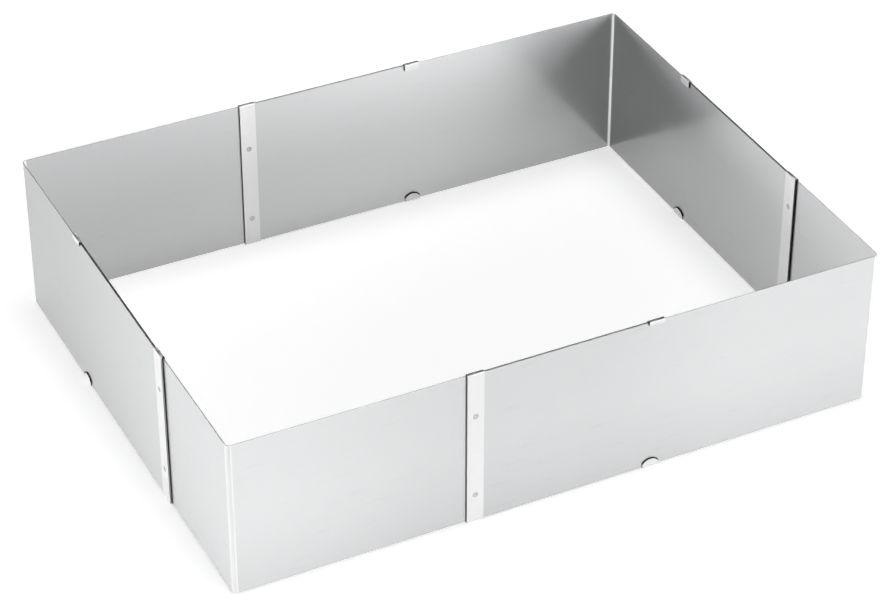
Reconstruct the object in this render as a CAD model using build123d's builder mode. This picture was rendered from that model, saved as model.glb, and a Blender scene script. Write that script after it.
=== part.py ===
"""Adjustable cake frame: four corner sheets that telescope in clip strips.

Millimetres. +Z is up, +X runs along the long front wall to the right and +Y to the back.
The origin is the middle of the frame, on the surface it stands on.
Two corner sheets, front right and back left, run outside the other two on every wall.
"""
import os

from build123d import *

# Corner sheets
wall_height = 75.0
long_leaf = 195.0
short_leaf = 165.0
sheet = 0.35
bend_radius = 2.0
rim_break_share = 0.2

# Play between an outer leaf and the inner leaf behind it
leaf_gap = 0.35

# The frame as it is set here: how far the two leaves of a wall run over each other
long_overlap = 90.7
short_overlap = 99.7

# Clip strips
strip_width = 7.6
strip_thickness = 0.35
hook_gap = 0.15
tab_gap = 0.15
outer_tab_drop = 2.8
inner_tab_drop = 1.4
tab_corner = 0.7
lug_straight = 2.2
lug_rise = 1.8

# Spot welds
weld_diameter = 2.6
weld_depth_share = 0.5
dish_width_share = 0.84
dish_depth = 0.16

# Heights of each clip strip's two welds, as shares of the wall's height from its lower edge
weld_height_shares = {
    "front_outer": (0.18, 0.72),
    "front_inner": (0.20, 0.71),
    "left_outer": (0.21, 0.76),
    "left_inner": (0.19, 0.74),
    "right_outer": (0.19, 0.73),
    "right_inner": (0.22, 0.79),
    "back_outer": (0.20, 0.74),
    "back_inner": (0.18, 0.69),
}

# Left free at the ends of the travel: between a clip's tabs and the other clip's strip when the
# frame is pulled out, and between a clip and the bend of the sheet it grips when it is pushed in
stop_gap = 0.3
corner_gap = 0.5

# How far a cut runs past the face that it leaves by
overrun = 0.2

# The frame stands on its lower hooks, so the walls start above them
leaf_bottom = strip_thickness + hook_gap
leaf_top = leaf_bottom + wall_height
inner_inset = sheet + leaf_gap
grip = 2 * sheet + leaf_gap
rim_break = rim_break_share * sheet

# Set size, measured over the outer sheets
rest_width = 2 * long_leaf + inner_inset - long_overlap
rest_depth = 2 * short_leaf + inner_inset - short_overlap

# The hook bends round the leaves' edges with its inner radius equal to the play over them
hook_bend = hook_gap + strip_thickness / 2

up = Vector(0, 0, 1)


class Leaf:
    """One leaf of a corner sheet, from the corner to its free end."""

    def __init__(self, wall, layer, outward, corner, run, length):
        self.name = f"{wall}_{layer}"
        is_outer = layer == "outer"
        # The clip strip lies on the face that the other leaf doesn't cover
        self.side = outward if is_outer else -outward
        self.tab_drop = outer_tab_drop if is_outer else inner_tab_drop
        own_face = corner if is_outer else corner - outward * sheet
        self.strip_middle = own_face + run * (length - strip_width / 2)

    def clip_plane(self):
        """Across the wall: X away from the leaf towards the strip, Y up, origin on the leaf's face."""
        return Plane(origin=self.strip_middle, x_dir=self.side, z_dir=self.side.cross(up))

    def face_plane(self, height, stand_off):
        """Facing out of the strip, with its Y up, at a height and a distance off the leaf's face."""
        place = self.strip_middle + up * height + self.side * stand_off
        return Plane(origin=place, x_dir=up.cross(self.side), z_dir=self.side)

    def weld_heights(self):
        return [leaf_bottom + share * wall_height for share in weld_height_shares[self.name]]


class Corner:
    """One bent sheet: a long leaf in the front or back wall, a short one in a side wall."""

    def __init__(self, name, x_sign, y_sign, layer):
        self.name = name
        inset = 0 if layer == "outer" else inner_inset
        self.x_out = Vector(x_sign, 0, 0)
        self.y_out = Vector(0, y_sign, 0)
        reach_x = self.x_out * (rest_width / 2 - inset)
        reach_y = self.y_out * (rest_depth / 2 - inset)
        self.point = reach_x + reach_y
        long_wall = "front" if y_sign < 0 else "back"
        short_wall = "left" if x_sign < 0 else "right"
        self.leaves = [
            Leaf(long_wall, layer, self.y_out, self.point, -self.x_out, long_leaf),
            Leaf(short_wall, layer, self.x_out, self.point, -self.y_out, short_leaf),
        ]

    def middle_line_points(self):
        """The sheet's middle line seen from above: long leaf's end, corner, short leaf's end."""
        middle = self.point - (self.x_out + self.y_out) * (sheet / 2)
        long_end = middle - self.x_out * (long_leaf - sheet / 2)
        short_end = middle - self.y_out * (short_leaf - sheet / 2)
        return [(spot.X, spot.Y) for spot in (long_end, middle, short_end)]


def make_corner_sheet(corner):
    """The bent sheet, with a shallow pocket where each weld bites into it."""
    with BuildPart() as corner_sheet:
        with BuildSketch(Plane.XY.offset(leaf_bottom)):
            with BuildLine() as middle_line:
                FilletPolyline(*corner.middle_line_points(), radius=bend_radius - sheet / 2)
            trace(middle_line.line, line_width=sheet)
        extrude(amount=wall_height)
        levels = corner_sheet.edges().group_by(Axis.Z)
        fillet(levels[0] + levels[-1], radius=rim_break)
        for leaf in corner.leaves:
            for height in leaf.weld_heights():
                with BuildSketch(leaf.face_plane(height, -weld_depth_share * sheet)):
                    Circle(weld_diameter / 2)
                extrude(amount=weld_depth_share * sheet + overrun, mode=Mode.SUBTRACT)
    corner_sheet.part.label = f"{corner.name}_corner"
    export_step(corner_sheet.part, f"parts/{corner.name}_corner.step")


def make_clip(leaf):
    """The strip with both ends hooked over the two leaves: square tab above, rounded lug below."""
    strip_x = strip_thickness / 2
    tab_x = -(grip + tab_gap + strip_thickness / 2)
    bridge_top = leaf_top + hook_gap + strip_thickness / 2
    bridge_bottom = leaf_bottom - hook_gap - strip_thickness / 2
    tab_bottom = leaf_top - leaf.tab_drop
    lug_height = lug_straight + lug_rise
    half_width = strip_width / 2
    with BuildPart() as clip:
        with BuildSketch(leaf.clip_plane()):
            with BuildLine() as bent_line:
                FilletPolyline(
                    (tab_x, tab_bottom),
                    (tab_x, bridge_top),
                    (strip_x, bridge_top),
                    (strip_x, bridge_bottom),
                    (tab_x, bridge_bottom),
                    (tab_x, leaf_bottom + lug_height),
                    radius=hook_bend,
                )
            trace(bent_line.line, line_width=strip_thickness)
        extrude(amount=half_width, both=True)
        # The lower lug ends in an arc over its whole width
        with BuildSketch(leaf.face_plane(leaf_bottom, tab_x)):
            with BuildLine():
                ThreePointArc((-half_width, lug_straight), (0, lug_height), (half_width, lug_straight))
                Polyline(
                    (half_width, lug_straight),
                    (half_width + overrun, lug_straight),
                    (half_width + overrun, lug_height + overrun),
                    (-half_width - overrun, lug_height + overrun),
                    (-half_width - overrun, lug_straight),
                    (-half_width, lug_straight),
                )
            make_face()
        extrude(amount=strip_thickness / 2 + overrun, both=True, mode=Mode.SUBTRACT)
        # The upper tab's two free corners are rounded off, across its thickness
        level_faces = clip.faces().filter_by(Axis.Z)
        tab_end = level_faces.sort_by(lambda face: abs(face.center().Z - tab_bottom))[0]
        fillet(tab_end.edges().sort_by(SortBy.LENGTH)[:2], radius=tab_corner)
        for height in leaf.weld_heights():
            with BuildSketch(leaf.face_plane(height, -overrun)):
                Circle(weld_diameter / 2)
            extrude(amount=strip_thickness + 2 * overrun, mode=Mode.SUBTRACT)
    clip.part.label = f"{leaf.name}_clip"
    export_step(clip.part, f"parts/{leaf.name}_clip.step")


def make_welds(leaf):
    """Two fused plugs through the strip into the leaf, each dished where it was pressed."""
    dish_radius = dish_width_share * weld_diameter / 2
    ball_radius = (dish_radius**2 + dish_depth**2) / (2 * dish_depth)
    with BuildPart() as welds:
        for height in leaf.weld_heights():
            with BuildSketch(leaf.face_plane(height, strip_thickness)):
                Circle(weld_diameter / 2)
            extrude(amount=-(strip_thickness + weld_depth_share * sheet))
        for height in leaf.weld_heights():
            ball_plane = leaf.face_plane(height, strip_thickness + ball_radius - dish_depth)
            with Locations(ball_plane.location):
                Sphere(ball_radius, mode=Mode.SUBTRACT)
    welds.part.label = f"{leaf.name}_welds"
    export_step(welds.part, f"parts/{leaf.name}_welds.step")


os.makedirs("parts", exist_ok=True)

corners = [
    Corner("front_left", -1, -1, "inner"),
    Corner("front_right", 1, -1, "outer"),
    Corner("back_left", -1, 1, "outer"),
    Corner("back_right", 1, 1, "inner"),
]
for corner in corners:
    make_corner_sheet(corner)
    for leaf in corner.leaves:
        make_clip(leaf)
        make_welds(leaf)

# Travel of the slides
for direction, size, length in (("width", rest_width, long_leaf), ("depth", rest_depth, short_leaf)):
    least = length + inner_inset + bend_radius + corner_gap
    most = 2 * length + inner_inset - 2 * strip_width - stop_gap
    print(f"{direction}: {least:.2f} to {most:.2f}, slide {least - size:.2f} to {most - size:.2f}")
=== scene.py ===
import math

import bpy
from mathutils import Matrix, Vector


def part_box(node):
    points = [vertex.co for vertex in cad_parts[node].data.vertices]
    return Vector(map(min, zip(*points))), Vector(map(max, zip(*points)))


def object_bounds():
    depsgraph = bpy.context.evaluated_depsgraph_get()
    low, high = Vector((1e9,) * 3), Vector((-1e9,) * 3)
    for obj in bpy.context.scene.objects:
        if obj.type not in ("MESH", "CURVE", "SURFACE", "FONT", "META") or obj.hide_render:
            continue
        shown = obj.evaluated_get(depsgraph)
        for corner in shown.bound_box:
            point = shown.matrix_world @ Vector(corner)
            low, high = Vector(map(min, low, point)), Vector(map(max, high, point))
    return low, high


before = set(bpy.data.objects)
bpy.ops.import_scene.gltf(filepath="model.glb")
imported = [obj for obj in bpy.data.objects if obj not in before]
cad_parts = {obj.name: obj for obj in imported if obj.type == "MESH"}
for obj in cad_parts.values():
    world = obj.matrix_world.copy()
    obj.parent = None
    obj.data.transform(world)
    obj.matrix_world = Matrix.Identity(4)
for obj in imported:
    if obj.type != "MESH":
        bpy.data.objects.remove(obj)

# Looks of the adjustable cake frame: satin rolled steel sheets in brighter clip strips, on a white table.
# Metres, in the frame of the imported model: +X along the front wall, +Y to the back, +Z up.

MM = 0.001
cad_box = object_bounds()
scene = bpy.context.scene

# Camera, solved from the straight edges of the photograph. The sensor's width is in millimetres
IMAGE_WIDTH = 891
VIEW_AZIMUTH, VIEW_ELEVATION = math.radians(-26.33), math.radians(35.2)
CAMERA_DISTANCE = 1.3388
FOCAL_PIXELS = 3041.4
AIM_RIGHT, AIM_UP = 0.00217, -0.01159
SENSOR_WIDTH = 36.0

# Patterns in the rolled steel: how often each changes in a metre along X, Y and Z, its detail, and how
# far it lies from the material's own seed
GRAIN = ((22.0, 22.0, 2600.0), 3.0, 0.0)
THREADS = ((6.0, 6.0, 700.0), 2.0, 3.1)
CLOUDS = ((9.0, 9.0, 16.0), 3.0, 7.7)
WAVES = ((8.0, 8.0, 5.0), 1.0, 12.9)
RUBS = ((70.0, 70.0, 420.0), 4.0, 17.3)

# Where in their pattern the rubs start to show and show in full, and what they do to the steel
RUBS_START, RUBS_FULL = 0.60, 0.74
RUBS_DARKER, RUBS_ROUGHER = 0.015, 0.04

# How far clouds and grain make the brightness swing, and the clouds the roughness, from low to high
BRIGHTNESS_SWING = 0.05
ROUGHNESS_SWING = 0.08

# Relief: what grain and threads add to the fine one, and how deep that one and the waves are
GRAIN_RELIEF_SHARE, THREADS_RELIEF_SHARE = 0.6, 0.4
FINE_RELIEF, WAVES_RELIEF = 0.005 * MM, 0.6 * MM

# The broad gloss is widest up and down, a quarter turn from the way round the frame
SPREAD_TURN = 0.25

# The weaker, sharper gloss over the broad one
SKIN_IOR, SKIN_ROUGHNESS = 3.0, 0.18

# How much less rough than the rest of the steel a bend is, and how much rougher a cut
BEND_SMOOTHER, CUT_ROUGHER = 0.2, 0.12

# The steel of the sheets, the clips and the welds: brightness, roughness and how much wider than along
# the sheet its gloss is up and down; the sheets are a little bluish
SHEET_TONE, SHEET_WARMTH = 0.54, -0.013
# The clips' brightness differs by wall as painted light and shade: one steel made lighter or darker for
# how light falls on each wall
CLIP_PAINTED_LIGHT_TONE = {"front": 0.59, "back": 0.70, "left": 0.76, "right": 0.74}
WELD_TONE = 0.34
SHEET_ROUGHNESS, CLIP_ROUGHNESS, WELD_ROUGHNESS = 0.50, 0.42, 0.50
ROLLED_SPREAD, WELD_SPREAD = 1.0, 0.3

# Seeds of the materials: the first one's and the step to the next
SHEET_SEEDS = (0.0, 2.3)
CLIP_SEEDS = (5.0, 1.7)
WELD_SEEDS = (31.0, 1.0)

# The corner sheets: which way each corner points along X and Y, its layer, and how bright the highlight
# painted on its bend is and how far that reaches from the corner
CORNERS = (
    ("front_left", -1, -1, "inner", 0.82, 2.0 * MM),
    ("front_right", 1, -1, "outer", 0.82, 2.0 * MM),
    ("back_left", -1, 1, "outer", 0.82, 2.0 * MM),
    ("back_right", 1, 1, "inner", 0.92, 1.3 * MM),
)

# Painted light and shade on the sheets: a factor on their brightness, where 1 is plain, in smooth steps:
# from where to where, and from what to what. It stands in for how light falls over each wall. The side
# walls along Y, lighter towards the front and darker towards the back; the front wall along X, lighter at
# its left end and towards its right, and up from its foot, darker at the foot; the back wall along X,
# darker at its left and near the back right corner
SIDE_PAINTED_LIGHT = (-120 * MM, 120 * MM, 1.20, 0.66)
FRONT_PAINTED_LIGHT_LEFT = (-150 * MM, -30 * MM, 1.16, 0.92)
FRONT_PAINTED_LIGHT_RIGHT = (10 * MM, 90 * MM, 0.0, 0.13)
FRONT_PAINTED_SHADE_FOOT = (5 * MM, 45 * MM, 0.90, 1.0)
BACK_PAINTED_LIGHT_LEFT = (-150 * MM, 60 * MM, 0.79, 1.21)
BACK_PAINTED_SHADE_RIGHT = (80 * MM, 135 * MM, 0.0, -0.21)

# How squarely a face stands across its axis, at least, if it counts as a wall or a leaf's end, as a
# rim, or as a clip's side
WALL_SQUARE, RIM_SQUARE, CLIP_SIDE_SQUARE = 0.7, 0.5, 0.4

# The sheared ends of the leaves are dull cuts, their colour painted light and shade: painted bright on
# the outer sheets, lighter than the steel, and dark on the inner ones as the shade in the gap under the
# outer sheet. They reach this far in, and the painted shade on the rims of an inner sheet starts this far
# from its corner
LEAF_END_PAINTED_TONE = {"outer": 0.95, "inner": 0.3}
LEAF_END_REACH = 0.3 * MM
RIM_SHADE_START = 3.0 * MM

# The cuts of the clips are dull, and their colour is dark with painted shade of the gaps between a clip
# and the sheets. Their sides show it in part on the inner leaves, as painted shade at the step between
# the leaves, and not on the outer
CLIP_CUT_AND_SHADE_TONE = 0.03
CLIP_SIDE_SHADE_SHARE = {"outer": 0.0, "inner": 0.55}

# The clips' lower lugs, as they are built: straight sides up to an arc over half a clip's width each way
LEAF_BOTTOM = 0.5 * MM
CLIP_HALF_WIDTH = 3.8 * MM
LUG_STRAIGHT, LUG_RISE = 2.2 * MM, 1.8 * MM
LUG_ARC_RADIUS = (CLIP_HALF_WIDTH**2 + LUG_RISE**2) / (2 * LUG_RISE)
LUG_ARC_HEIGHT = LEAF_BOTTOM + LUG_STRAIGHT + LUG_RISE - LUG_ARC_RADIUS

# How wide the painted shadows are on a lug's arc and on one edge of an upper tab: dark bands standing in
# for the shade of the gap between the hook and the sheet. The lug's is drawn only between two heights,
# the tab's only above one
LUG_PAINTED_SHADOW, TAB_PAINTED_SHADOW = 0.5 * MM, 0.4 * MM
LUG_SHADOW_BOTTOM, LUG_SHADOW_TOP = 2.0 * MM, 6.0 * MM
TAB_SHADOW_BOTTOM = 72.0 * MM

# Light of the surroundings, where 1 is white. The room is darker towards the open side: azimuth, and
# degrees to where that starts to fade and ends either side and over the horizon
ROOM, ROOM_OPEN_SIDE = 0.06, 0.006
OPEN_SIDE = (244, 20, 60)
OPEN_SIDE_HEIGHTS = (40, 60)

# The white screen and the soft boxes: the middle azimuth of each, degrees to where it starts to fade and
# ends either side, degrees over the horizon where it starts, is full, starts to fade and ends, its light
SOFT_BOXES = (
    (64, 138, 158, -4, -3, 6, 11, 4.4),
    (148, 10, 30, -1, 1, 12, 20, 1.7),
    (302, 20, 45, -1, 1, 18, 26, 3.9),
)

# The soft box overhead: degrees over the horizon where it starts and is full, and its light
OVERHEAD_HEIGHTS = (65, 85)
OVERHEAD = 5.2

# The table: its size, its white, and the light it adds where it is seen
TABLE_SIZE = 12.0
TABLE_WHITE = 0.9
TABLE_LIFT = 0.42


class Nodes:
    """Short hands for writing a node tree."""

    def __init__(self, tree):
        self.tree = tree
        self.tree.nodes.clear()

    def add(self, kind, **settings):
        node = self.tree.nodes.new(kind)
        for name, value in settings.items():
            setattr(node, name, value)
        return node

    def put(self, value, socket):
        """Links an output to a socket, or writes a plain value into it."""
        if isinstance(value, bpy.types.NodeSocket):
            self.tree.links.new(value, socket)
        else:
            socket.default_value = value

    def put_all(self, values, sockets):
        for value, socket in zip(values, sockets):
            self.put(value, socket)

    def math(self, operation, *values):
        node = self.add("ShaderNodeMath", operation=operation)
        self.put_all(values, node.inputs)
        return node.outputs[0]

    def swing(self, pattern, span, middle=0.0):
        """A pattern that goes from 0 to 1, laid over a span round a middle."""
        return self.math("MULTIPLY_ADD", pattern, span, middle - span / 2)

    def ramp(self, value, low, high, out_low=0.0, out_high=1.0):
        """A smooth step of value from low to high."""
        node = self.add("ShaderNodeMapRange", interpolation_type="SMOOTHSTEP")
        self.put_all((value, low, high, out_low, out_high), node.inputs)
        return node.outputs[0]

    def mix(self, share, a, b):
        """A colour between a and b."""
        node = self.add("ShaderNodeMix", data_type="RGBA")
        self.put_all((share, a, b), (node.inputs[0], node.inputs[6], node.inputs[7]))
        return node.outputs[2]

    def blend(self, share, a, b):
        """A number between a and b."""
        node = self.add("ShaderNodeMix", data_type="FLOAT")
        self.put_all((share, a, b), (node.inputs[0], node.inputs[2], node.inputs[3]))
        return node.outputs[0]

    def split(self, vector):
        """The X, Y and Z of a vector."""
        node = self.add("ShaderNodeSeparateXYZ")
        self.put(vector, node.inputs[0])
        return node.outputs

    def noise(self, place, pattern, seed):
        """Noise with its own scale along each axis; the seed moves it elsewhere in the pattern."""
        per_metre, detail, offset = pattern
        mapping = self.add("ShaderNodeMapping")
        self.put(place, mapping.inputs["Vector"])
        mapping.inputs["Scale"].default_value = per_metre
        mapping.inputs["Location"].default_value = [seed + offset] * 3
        node = self.add("ShaderNodeTexNoise")
        self.put(mapping.outputs[0], node.inputs["Vector"])
        node.inputs["Scale"].default_value = 1.0
        node.inputs["Detail"].default_value = detail
        return node.outputs["Fac"]

    def bump(self, height, depth):
        """A bump node; its normal is the output."""
        node = self.add("ShaderNodeBump")
        node.inputs["Strength"].default_value = 1.0
        node.inputs["Distance"].default_value = depth
        self.put(height, node.inputs["Height"])
        return node


def grey(value, warmth=0.0):
    return (value * (1 + warmth), value, value * (1 - warmth), 1.0)


def relief(nodes, grain, threads, waves):
    """The normal of rolled steel: fine lines over soft waves."""
    grain_height = nodes.math("MULTIPLY", grain, GRAIN_RELIEF_SHARE)
    threads_height = nodes.math("MULTIPLY", threads, THREADS_RELIEF_SHARE)
    fine = nodes.bump(nodes.math("ADD", grain_height, threads_height), FINE_RELIEF)
    broad = nodes.bump(waves, WAVES_RELIEF)
    nodes.put(fine.outputs[0], broad.inputs["Normal"])
    return broad.outputs[0]


def steel(name, colour, roughness, spread, seed, painted_light=None, cuts_and_shade=None, bend_highlight=None):
    """Rolled stainless steel: fine lengthwise grain, soft cloudy patches and faint rubs.

    Its gloss is broad, and wider up and down, across the grain, than along it by spread. A weaker
    and sharper gloss lies over that, as the skin of rolled steel has both. Cut edges are dull and
    lack that skin, and their colour carries painted light and shade. Bends carry a painted highlight
    and are less rough. The painted light and shade over the walls is a function that writes its own
    nodes, and the cuts and the bend are each a colour and the function that writes its mask.
    """
    material = bpy.data.materials.new(name)
    material.use_nodes = True
    nodes = Nodes(material.node_tree)
    coords = nodes.add("ShaderNodeTexCoord")
    place, facing = coords.outputs["Object"], coords.outputs["Normal"]
    grain, threads, clouds, waves, rubs = [
        nodes.noise(place, pattern, seed) for pattern in (GRAIN, THREADS, CLOUDS, WAVES, RUBS)
    ]
    rubs = nodes.ramp(rubs, RUBS_START, RUBS_FULL)

    cloudy = nodes.swing(clouds, BRIGHTNESS_SWING)
    streaky = nodes.swing(grain, BRIGHTNESS_SWING, 1.0)
    brightness = nodes.math("ADD", cloudy, streaky)
    brightness = nodes.math("SUBTRACT", brightness, nodes.math("MULTIPLY", rubs, RUBS_DARKER))
    # Painted light and shade: the brightness is scaled by where the surface lies on the walls
    if painted_light:
        brightness = nodes.math("MULTIPLY", brightness, painted_light(nodes, place, facing))
    plain = nodes.add("ShaderNodeVectorMath", operation="SCALE")
    plain.inputs[0].default_value = colour[:3]
    nodes.put(brightness, plain.inputs["Scale"])
    base = plain.outputs[0]

    rough = nodes.swing(clouds, ROUGHNESS_SWING, roughness)
    rough = nodes.math("ADD", rough, nodes.math("MULTIPLY", rubs, RUBS_ROUGHER))
    skin = 1.0
    # Painted highlight: the bend's colour is brighter than the steel, and the bend is less rough
    if bend_highlight:
        highlight_colour, bend_highlight_mask = bend_highlight
        highlighted = bend_highlight_mask(nodes, place)
        base = nodes.mix(highlighted, base, highlight_colour)
        rough = nodes.math("SUBTRACT", rough, nodes.math("MULTIPLY", highlighted, BEND_SMOOTHER))
    # Cuts are dull and rougher, and their colour is painted light and shade: dark in gaps between parts,
    # bright on the outer leaves' ends
    if cuts_and_shade:
        cuts_and_shade_colour, cuts_and_shade_mask = cuts_and_shade
        cut_and_shaded = cuts_and_shade_mask(nodes, place, facing)
        base = nodes.mix(cut_and_shaded, base, cuts_and_shade_colour)
        rough = nodes.math("ADD", rough, nodes.math("MULTIPLY", cut_and_shaded, CUT_ROUGHER))
        skin = nodes.math("SUBTRACT", 1.0, cut_and_shaded)

    normal = relief(nodes, grain, threads, waves)
    tangent = nodes.add("ShaderNodeTangent", direction_type="RADIAL", axis="Z")
    shader = nodes.add("ShaderNodeBsdfPrincipled")
    shader.inputs["Metallic"].default_value = 1.0
    shader.inputs["Anisotropic"].default_value = spread
    shader.inputs["Anisotropic Rotation"].default_value = SPREAD_TURN
    nodes.put(base, shader.inputs["Base Color"])
    nodes.put(rough, shader.inputs["Roughness"])
    nodes.put(normal, shader.inputs["Normal"])
    nodes.put(tangent.outputs[0], shader.inputs["Tangent"])
    shader.inputs["Coat IOR"].default_value = SKIN_IOR
    shader.inputs["Coat Roughness"].default_value = SKIN_ROUGHNESS
    nodes.put(skin, shader.inputs["Coat Weight"])
    nodes.put(normal, shader.inputs["Coat Normal"])
    output = nodes.add("ShaderNodeOutputMaterial")
    nodes.put(shader.outputs[0], output.inputs["Surface"])
    return material


def stands_across(nodes, facing, axis, least):
    """1 where the surface stands across an axis at least this squarely, facing either way."""
    squarely = nodes.math("ABSOLUTE", nodes.split(facing)[axis])
    return nodes.math("GREATER_THAN", squarely, least)


def near(nodes, place, axis, where, reach):
    """1 where the place is within reach of where along an axis."""
    away = nodes.math("ABSOLUTE", nodes.math("SUBTRACT", nodes.split(place)[axis], where))
    return nodes.math("LESS_THAN", away, reach)


def sheet_painted_light(nodes, place, facing):
    """Painted light and shade on the sheets, a factor on their brightness which differs slowly over each
    wall: 1 is plain.
    """
    x, y, z = nodes.split(place)
    side = nodes.ramp(y, *SIDE_PAINTED_LIGHT)
    front = nodes.math("ADD", nodes.ramp(x, *FRONT_PAINTED_LIGHT_LEFT), nodes.ramp(x, *FRONT_PAINTED_LIGHT_RIGHT))
    front = nodes.math("MULTIPLY", front, nodes.ramp(z, *FRONT_PAINTED_SHADE_FOOT))
    back = nodes.math("ADD", nodes.ramp(x, *BACK_PAINTED_LIGHT_LEFT), nodes.ramp(x, *BACK_PAINTED_SHADE_RIGHT))
    long_walls = nodes.blend(nodes.math("GREATER_THAN", y, 0.0), front, back)
    return nodes.blend(stands_across(nodes, facing, "X", WALL_SQUARE), long_walls, side)


def sheet_bend_highlight_mask(corner_x, corner_y, reach):
    """Where a bend's painted highlight lies: the bend between a corner sheet's two leaves, as far as
    reach from its outer corner.
    """

    def mask(nodes, place):
        in_x = near(nodes, place, "X", corner_x, reach)
        return nodes.math("MULTIPLY", in_x, near(nodes, place, "Y", corner_y, reach))

    return mask


def leaf_ends_and_rim_shade_mask(long_end, short_end, corner_y, layer):
    """The sheared ends of a corner sheet's two leaves, and the rims of an inner sheet's short leaf, where
    the painted light and shade of the cuts goes.
    """

    def mask(nodes, place, facing):
        ends = []
        for axis, where in (("X", long_end), ("Y", short_end)):
            at_end = near(nodes, place, axis, where, LEAF_END_REACH)
            ends.append(nodes.math("MULTIPLY", stands_across(nodes, facing, axis, WALL_SQUARE), at_end))
        cuts_and_shade = nodes.math("MAXIMUM", *ends)
        if layer == "inner":
            past_bend = nodes.math("SUBTRACT", 1.0, near(nodes, place, "Y", corner_y, RIM_SHADE_START))
            rims = nodes.math("MULTIPLY", stands_across(nodes, facing, "Z", RIM_SQUARE), past_bend)
            cuts_and_shade = nodes.math("MAXIMUM", cuts_and_shade, rims)
        return cuts_and_shade

    return mask


def clip_cuts_and_shadows_mask(run_axis, across, lug_side, middle, share):
    """A clip's sheared sides, and the painted shadows on its hooks: along the lower lug's arc, along the
    tab's edge.

    The hooks lie on the side of the wall across that lug_side gives, and the lug's arc is round
    about a point below the clip's middle.
    """

    def mask(nodes, place, facing):
        side = stands_across(nodes, facing, run_axis, CLIP_SIDE_SQUARE)
        place_in = nodes.split(place)
        height = place_in["Z"]
        along = nodes.math("SUBTRACT", place_in[run_axis], middle[run_axis])
        out = nodes.math("SUBTRACT", place_in[across], middle[across])
        hooks = nodes.math("GREATER_THAN", nodes.math("MULTIPLY", out, lug_side), 0.0)

        rise = nodes.math("SUBTRACT", height, LUG_ARC_HEIGHT)
        squares = nodes.math("ADD", nodes.math("POWER", along, 2.0), nodes.math("POWER", rise, 2.0))
        near_arc = nodes.math("GREATER_THAN", nodes.math("SQRT", squares), LUG_ARC_RADIUS - LUG_PAINTED_SHADOW)
        low = nodes.math("LESS_THAN", height, LUG_SHADOW_TOP)
        high = nodes.math("GREATER_THAN", height, LUG_SHADOW_BOTTOM)
        arc = nodes.math("MULTIPLY", nodes.math("MULTIPLY", near_arc, low), high)

        tab = nodes.math("GREATER_THAN", height, TAB_SHADOW_BOTTOM)
        edge = nodes.math("LESS_THAN", along, TAB_PAINTED_SHADOW - CLIP_HALF_WIDTH)
        edge = nodes.math("MULTIPLY", nodes.math("MAXIMUM", edge, side), tab)
        # Painted shadow: dark bands on the hooks stand in for the shade of their gap to the sheet
        painted_shadow = nodes.math("MULTIPLY", nodes.math("MAXIMUM", arc, edge), hooks)
        return nodes.math("MAXIMUM", nodes.math("MULTIPLY", side, share), painted_shadow)

    return mask


def seed_of(seeds, number):
    first, step = seeds
    return first + step * number


def dress(node, material):
    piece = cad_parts[node]
    piece.data.materials.clear()
    piece.data.materials.append(material)


def dress_corners():
    for number, (name, x_sign, y_sign, layer, bend_highlight_tone, bend_highlight_reach) in enumerate(CORNERS):
        low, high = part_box(f"{name}_corner")
        corner_x, long_end = (high.x, low.x) if x_sign > 0 else (low.x, high.x)
        corner_y, short_end = (high.y, low.y) if y_sign > 0 else (low.y, high.y)
        cuts_and_shade_mask = leaf_ends_and_rim_shade_mask(long_end, short_end, corner_y, layer)
        sheet = steel(
            f"sheet_{name}",
            grey(SHEET_TONE, SHEET_WARMTH),
            SHEET_ROUGHNESS,
            ROLLED_SPREAD,
            seed_of(SHEET_SEEDS, number),
            painted_light=sheet_painted_light,
            # Painted light and shade on the leaf ends and, on inner sheets, the rims under the outer
            # sheet
            cuts_and_shade=(grey(LEAF_END_PAINTED_TONE[layer]), cuts_and_shade_mask),
            bend_highlight=(grey(bend_highlight_tone), sheet_bend_highlight_mask(corner_x, corner_y, bend_highlight_reach)),
        )
        dress(f"{name}_corner", sheet)


def dress_clips():
    """The eight clips and their welds: one on the outer and one on the inner leaf of each wall."""
    clips = [(wall, layer) for wall in ("front", "back", "left", "right") for layer in ("outer", "inner")]
    for number, (wall, layer) in enumerate(clips):
        run_axis, across = ("X", "Y") if wall in ("front", "back") else ("Y", "X")
        name = f"{wall}_{layer}"
        low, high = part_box(f"{name}_clip")
        middle = {"X": (low.x + high.x) / 2, "Y": (low.y + high.y) / 2}
        outwards = 1 if wall in ("back", "right") else -1
        lug_side = -outwards if layer == "outer" else outwards
        cuts_and_shade_mask = clip_cuts_and_shadows_mask(run_axis, across, lug_side, middle, CLIP_SIDE_SHADE_SHARE[layer])
        clip = steel(
            f"clip_{name}",
            grey(CLIP_PAINTED_LIGHT_TONE[wall]),
            CLIP_ROUGHNESS,
            ROLLED_SPREAD,
            seed_of(CLIP_SEEDS, number),
            # Dull cuts with painted shade of the gaps between the clip and the sheets
            cuts_and_shade=(grey(CLIP_CUT_AND_SHADE_TONE), cuts_and_shade_mask),
        )
        weld_seed = seed_of(WELD_SEEDS, number)
        weld = steel(f"weld_{name}", grey(WELD_TONE), WELD_ROUGHNESS, WELD_SPREAD, weld_seed)
        dress(f"{name}_clip", clip)
        dress(f"{name}_welds", weld)


def window(nodes, value, low, low_full, high_full, high):
    """1 between low_full and high_full, falling smoothly to 0 at low and at high."""
    rise = nodes.ramp(value, low, low_full)
    fall = nodes.ramp(value, high_full, high, 1.0, 0.0)
    return nodes.math("MULTIPLY", rise, fall)


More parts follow.
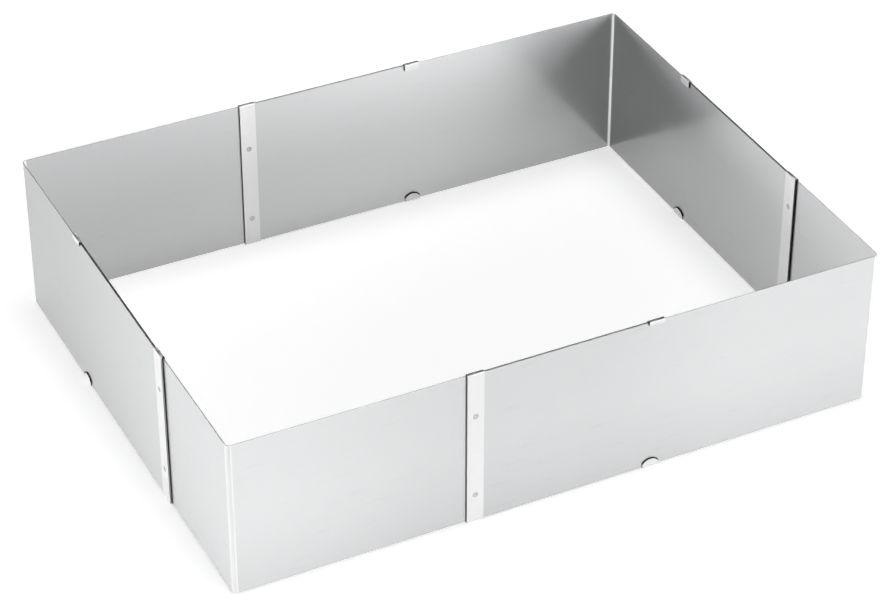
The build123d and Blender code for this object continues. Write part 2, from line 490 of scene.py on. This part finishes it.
def towards(nodes, level, azimuth, full, end):
    """1 within full degrees of an azimuth, falling smoothly to 0 at end degrees."""
    dot = nodes.add("ShaderNodeVectorMath", operation="DOT_PRODUCT")
    nodes.put(level, dot.inputs[0])
    turn = math.radians(azimuth)
    dot.inputs[1].default_value = (math.cos(turn), math.sin(turn), 0.0)
    return nodes.ramp(dot.outputs["Value"], math.cos(math.radians(end)), math.cos(math.radians(full)))


def heights_of(degrees):
    """How high the unit sphere is at each of some degrees over the horizon."""
    return [math.sin(math.radians(angle)) for angle in degrees]


def surroundings():
    """A dim room with a low white screen round the table and three soft boxes.

    One soft box stands at the back left, one at the front right, and one hangs overhead. The screen
    is open, and the room darker, on the side from which the photograph was taken.
    """
    world = bpy.data.worlds.new("studio")
    scene.world = world
    world.use_nodes = True
    nodes = Nodes(world.node_tree)
    coords = nodes.add("ShaderNodeTexCoord")
    x, y, height = nodes.split(coords.outputs["Generated"])
    flat = nodes.add("ShaderNodeCombineXYZ")
    nodes.put_all((x, y), flat.inputs)
    unit = nodes.add("ShaderNodeVectorMath", operation="NORMALIZE")
    nodes.put(flat.outputs[0], unit.inputs[0])
    level = unit.outputs[0]

    low_part = nodes.ramp(height, *heights_of(OPEN_SIDE_HEIGHTS), 1.0, 0.0)
    open_side = nodes.math("MULTIPLY", towards(nodes, level, *OPEN_SIDE), low_part)
    total = nodes.blend(open_side, ROOM, ROOM_OPEN_SIDE)
    for azimuth, full, end, *heights, light in SOFT_BOXES:
        side = towards(nodes, level, azimuth, full, end)
        belt = window(nodes, height, *heights_of(heights))
        total = nodes.math("MULTIPLY_ADD", nodes.math("MULTIPLY", side, belt), light, total)
    overhead = nodes.ramp(height, *heights_of(OVERHEAD_HEIGHTS))
    total = nodes.math("MULTIPLY_ADD", overhead, OVERHEAD, total)

    background = nodes.add("ShaderNodeBackground")
    background.inputs["Color"].default_value = grey(1.0)
    nodes.put(total, background.inputs["Strength"])
    output = nodes.add("ShaderNodeOutputWorld")
    nodes.put(background.outputs[0], output.inputs["Surface"])


def table():
    """A white table top that keeps the frame's shadow."""
    bpy.ops.mesh.primitive_plane_add(size=TABLE_SIZE, location=(0, 0, 0))
    top = bpy.context.object
    top.name = "table"
    material = bpy.data.materials.new("table_white")
    material.use_nodes = True
    nodes = Nodes(material.node_tree)
    rays = nodes.add("ShaderNodeLightPath")
    seen = nodes.math("MAXIMUM", rays.outputs["Is Camera Ray"], rays.outputs["Is Glossy Ray"])
    seen = nodes.math("MAXIMUM", seen, rays.outputs["Is Transmission Ray"])
    matt = nodes.add("ShaderNodeBsdfDiffuse")
    matt.inputs["Color"].default_value = grey(TABLE_WHITE)
    lift = nodes.add("ShaderNodeEmission")
    lift.inputs["Color"].default_value = grey(1.0)
    nodes.put(nodes.math("MULTIPLY", seen, TABLE_LIFT), lift.inputs["Strength"])
    both = nodes.add("ShaderNodeAddShader")
    nodes.put_all((matt.outputs[0], lift.outputs[0]), both.inputs)
    output = nodes.add("ShaderNodeOutputMaterial")
    nodes.put(both.outputs[0], output.inputs["Surface"])
    top.data.materials.append(material)


def camera():
    """Looks at the frame as the photograph does, with the aim moved a little off its centre."""
    low, high = cad_box
    centre = (Vector(low) + Vector(high)) / 2
    right = Vector((math.cos(VIEW_AZIMUTH), math.sin(VIEW_AZIMUTH), 0))
    level_back = Vector((math.sin(VIEW_AZIMUTH), -math.cos(VIEW_AZIMUTH), 0))
    back = level_back * math.cos(VIEW_ELEVATION) + Vector((0, 0, math.sin(VIEW_ELEVATION)))
    up = back.cross(right)
    place = centre + right * AIM_RIGHT + up * AIM_UP + back * CAMERA_DISTANCE
    data = bpy.data.cameras.new("camera")
    data.sensor_width = SENSOR_WIDTH
    data.lens = FOCAL_PIXELS / IMAGE_WIDTH * SENSOR_WIDTH
    holder = bpy.data.objects.new("camera", data)
    scene.collection.objects.link(holder)
    turn = Matrix((right, up, back)).transposed().to_4x4()
    holder.matrix_world = Matrix.Translation(place) @ turn
    scene.camera = holder


dress_corners()
dress_clips()
surroundings()
table()
camera()
scene.view_settings.view_transform = "Standard"
